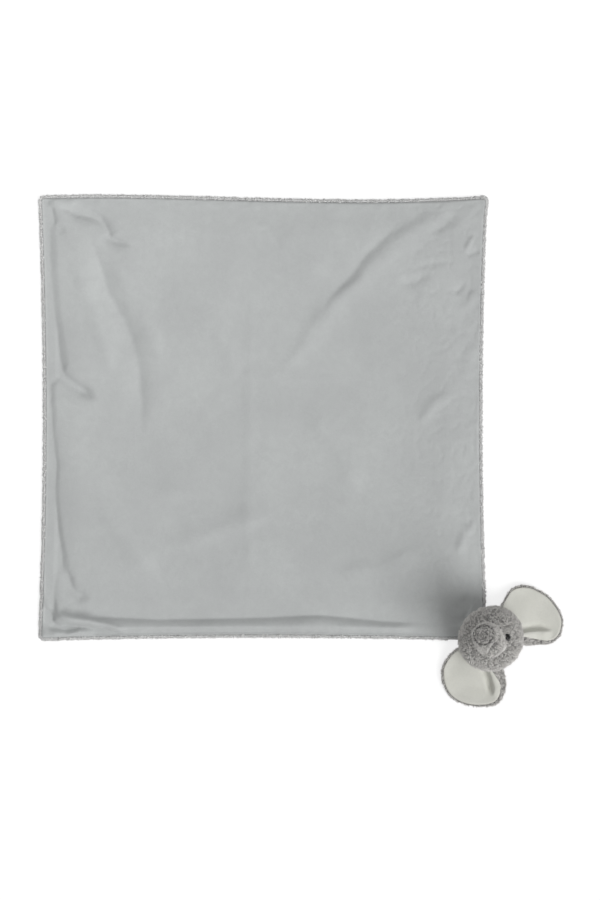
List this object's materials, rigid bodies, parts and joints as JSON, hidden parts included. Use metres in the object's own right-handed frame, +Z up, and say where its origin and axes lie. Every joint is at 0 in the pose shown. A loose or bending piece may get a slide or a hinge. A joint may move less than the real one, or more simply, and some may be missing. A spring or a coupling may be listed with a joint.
{
  "type": "comforter blanket with plush elephant head",
  "caption": "Flat square comforter blanket of velour and sherpa, with a stuffed plush elephant head sewn to one corner.",
  "frame": {"origin": "middle of the blanket's underside, on the surface it lies on", "axes": "+Z up out of the blanket's velour face, +X and +Y along its sides; the head is at the +X, -Y corner"},
  "size_m": [0.8188, 0.8037, 0.1471],
  "materials": {
    "blanket_velour": "short even velour pile, matt",
    "sherpa": "nubbly sherpa pile, matt",
    "plush": "short dense plush pile, matt",
    "ear_velour": "ivory velour, matt",
    "stuffing": "polyester fibre filling",
    "eye_black": "polished black",
    "washer_plastic": "natural moulded plastic"
  },
  "bodies": {
    "blanket": {"blanket_front": "blanket_velour", "blanket_back": "sherpa", "seam_allowance": "blanket_velour"},
    "neck": {"corner_front": "blanket_velour", "corner_back": "sherpa", "neck_gather": "blanket_velour"},
    "head": {"head_side_right": "plush", "head_side_left": "plush", "forehead_gusset": "plush", "throat_gusset": "plush", "head_stuffing": "stuffing", "eye_right": "eye_black", "eye_left": "eye_black", "eye_washer_right": "washer_plastic", "eye_washer_left": "washer_plastic", "ear_root_right": "plush", "ear_root_left": "plush"},
    "ear_right": {"ear_back_right": "plush", "ear_front_right": "ear_velour"},
    "ear_left": {"ear_back_left": "plush", "ear_front_left": "ear_velour"},
    "trunk_root": {"trunk_root_stuffing": "stuffing"},
    "trunk_base": {"trunk_base_cover": "plush", "trunk_base_stuffing": "stuffing"},
    "trunk_end": {"trunk_end_cover": "plush", "trunk_end_stuffing": "stuffing", "trunk_tip_disc": "plush"}
  },
  "joints": [
    {"name": "neck_fold", "type": "hinge", "parent": "blanket", "child": "neck", "pos_m": [0.31918, -0.30718, 0.0036], "axis": [-0.7071, -0.7071, 0], "range_deg": [-80, 75]},
    {"name": "head_twist", "type": "hinge", "parent": "neck", "child": "head", "pos_m": [0.32979, -0.31779, 0.008], "axis": [0.7071, -0.7071, 0], "range_deg": [-25, 25]},
    {"name": "ear_right_fold", "type": "hinge", "parent": "head", "child": "ear_right", "pos_m": [0.39186, -0.31445, 0.024], "axis": [0.515, -0.8572, 0], "range_deg": [-40, 50]},
    {"name": "ear_left_fold", "type": "hinge", "parent": "head", "child": "ear_left", "pos_m": [0.32645, -0.37986, 0.024], "axis": [-0.8572, 0.515, 0], "range_deg": [-40, 50]},
    {"name": "trunk_lean", "type": "hinge", "parent": "head", "child": "trunk_root", "pos_m": [0.35312, -0.34112, 0.08601], "axis": [-0.7071, -0.7071, 0], "range_deg": [-12, 12], "stiffness_Nm_per_rad": 0.25},
    {"name": "trunk_sway", "type": "hinge", "parent": "trunk_root", "child": "trunk_base", "pos_m": [0.35312, -0.34112, 0.08601], "axis": [0.7071, -0.7071, 0], "range_deg": [-8, 8], "stiffness_Nm_per_rad": 0.25},
    {"name": "trunk_curl", "type": "hinge", "parent": "trunk_base", "child": "trunk_end", "pos_m": [0.34156, -0.33215, 0.1122], "axis": [-0.7071, -0.7071, 0], "range_deg": [-12, 12], "stiffness_Nm_per_rad": 0.15}
  ],
  "couplings": [
    {"joint": "trunk_curl", "follows": "trunk_lean", "ratio": 1}
  ]
}
